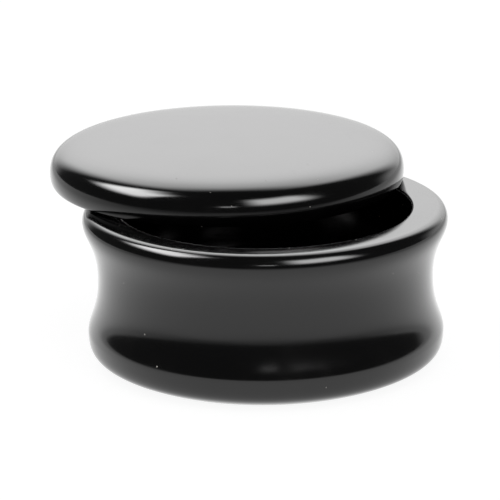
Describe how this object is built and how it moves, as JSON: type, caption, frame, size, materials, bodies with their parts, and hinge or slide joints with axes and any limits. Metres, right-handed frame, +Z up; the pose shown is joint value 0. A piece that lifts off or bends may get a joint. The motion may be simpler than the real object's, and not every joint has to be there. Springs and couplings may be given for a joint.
{
  "type": "lidded bowl",
  "caption": "Round black gloss bowl with a drawn-in waist, a flared lip and a loose domed lid lying ajar on the rim.",
  "frame": {"origin": "centre of the bowl's flat base", "axes": "+Z up along the bowl's turning axis, front of the object faces -Y, the lid is shifted towards -X and +Y"},
  "size_m": [0.1229, 0.1402, 0.0621],
  "materials": {
    "bowl_lacquer": "black gloss lacquer on turned wood",
    "lid_lacquer": "black gloss lacquer on turned wood"
  },
  "bodies": {
    "bowl": {"bowl": "bowl_lacquer"},
    "lid": {"lid": "lid_lacquer"}
  },
  "joints": [
    {"name": "lid_lift", "type": "slide", "parent": "bowl", "child": "lid", "axis": [0, 0, 1], "range_m": [0, 0.1]}
  ]
}
